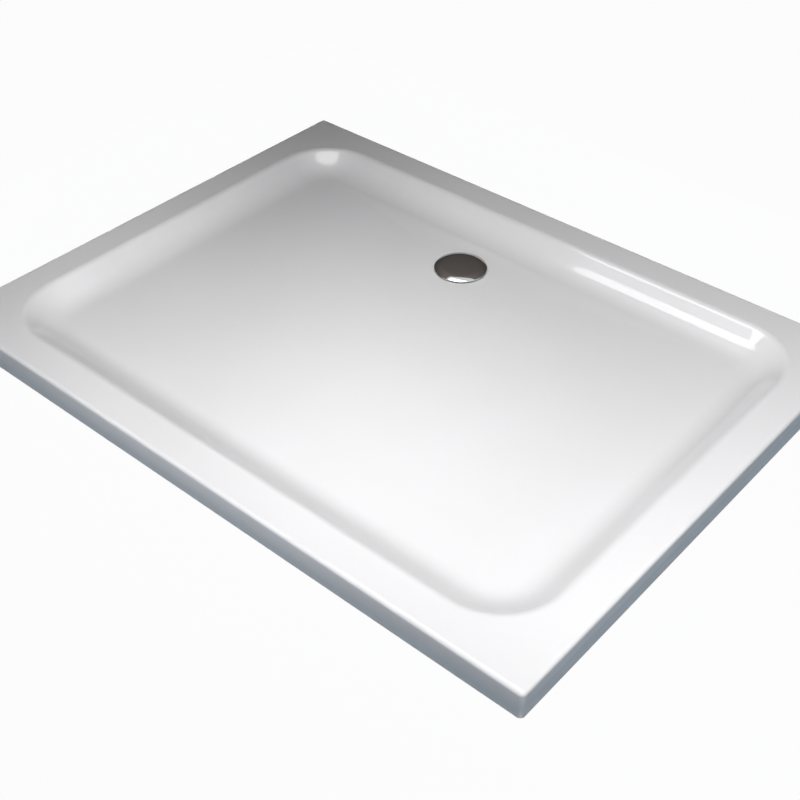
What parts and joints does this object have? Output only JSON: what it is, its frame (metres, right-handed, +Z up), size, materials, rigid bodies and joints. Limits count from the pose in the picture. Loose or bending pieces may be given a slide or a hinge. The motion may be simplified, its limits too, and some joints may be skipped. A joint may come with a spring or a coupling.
{
  "type": "shower tray",
  "caption": "Low-profile rectangular shower tray in white acrylic over stone resin, with a sloped basin, a domed chrome waste cover, lift-out dip tube and bottle trap.",
  "frame": {"origin": "centre of the flat underside, on the bedding face", "axes": "+X along the long sides, +Y towards the long side nearest the waste, +Z up out of the basin"},
  "size_m": [1, 0.76, 0.163],
  "materials": {
    "acrylic": "white gloss acrylic sheet, vacuum formed",
    "stone_resin": "cast polyester resin with limestone filler, matt, fine grained",
    "chrome": "polished chrome plate",
    "rubber": "moulded black rubber",
    "polypropylene": "white polypropylene moulding, satin",
    "grey_plastic": "grey polypropylene moulding, satin"
  },
  "bodies": {
    "root": {"tray_shell": "acrylic", "resin_core": "stone_resin", "waste_flange": "chrome", "flange_gasket": "rubber", "tray_gasket": "rubber", "trap_head": "polypropylene", "trap_bowl": "polypropylene", "outlet_seal": "rubber", "slip_washer": "polypropylene", "outlet_nut": "polypropylene"},
    "dip_tube": {"dip_tube": "grey_plastic", "dip_tube_ring": "rubber"},
    "strainer": {"hair_strainer": "grey_plastic"},
    "cover": {"waste_cover": "chrome", "cover_carrier": "grey_plastic"},
    "outlet": {"outlet_pipe": "polypropylene"}
  },
  "joints": [
    {"name": "dip_tube_lift", "type": "slide", "parent": "root", "child": "dip_tube", "axis": [0, 0, 1], "range_m": [0, 0.125]},
    {"name": "strainer_lift", "type": "slide", "parent": "dip_tube", "child": "strainer", "axis": [0, 0, 1], "range_m": [0, 0.02]},
    {"name": "cover_lift", "type": "slide", "parent": "strainer", "child": "cover", "axis": [0, 0, 1], "range_m": [0, 0.03]},
    {"name": "outlet_swing", "type": "hinge", "parent": "root", "child": "outlet", "pos_m": [-0.054, 0.278, -0.039], "axis": [0, 0, 1], "range_deg": [-8, 8]}
  ]
}
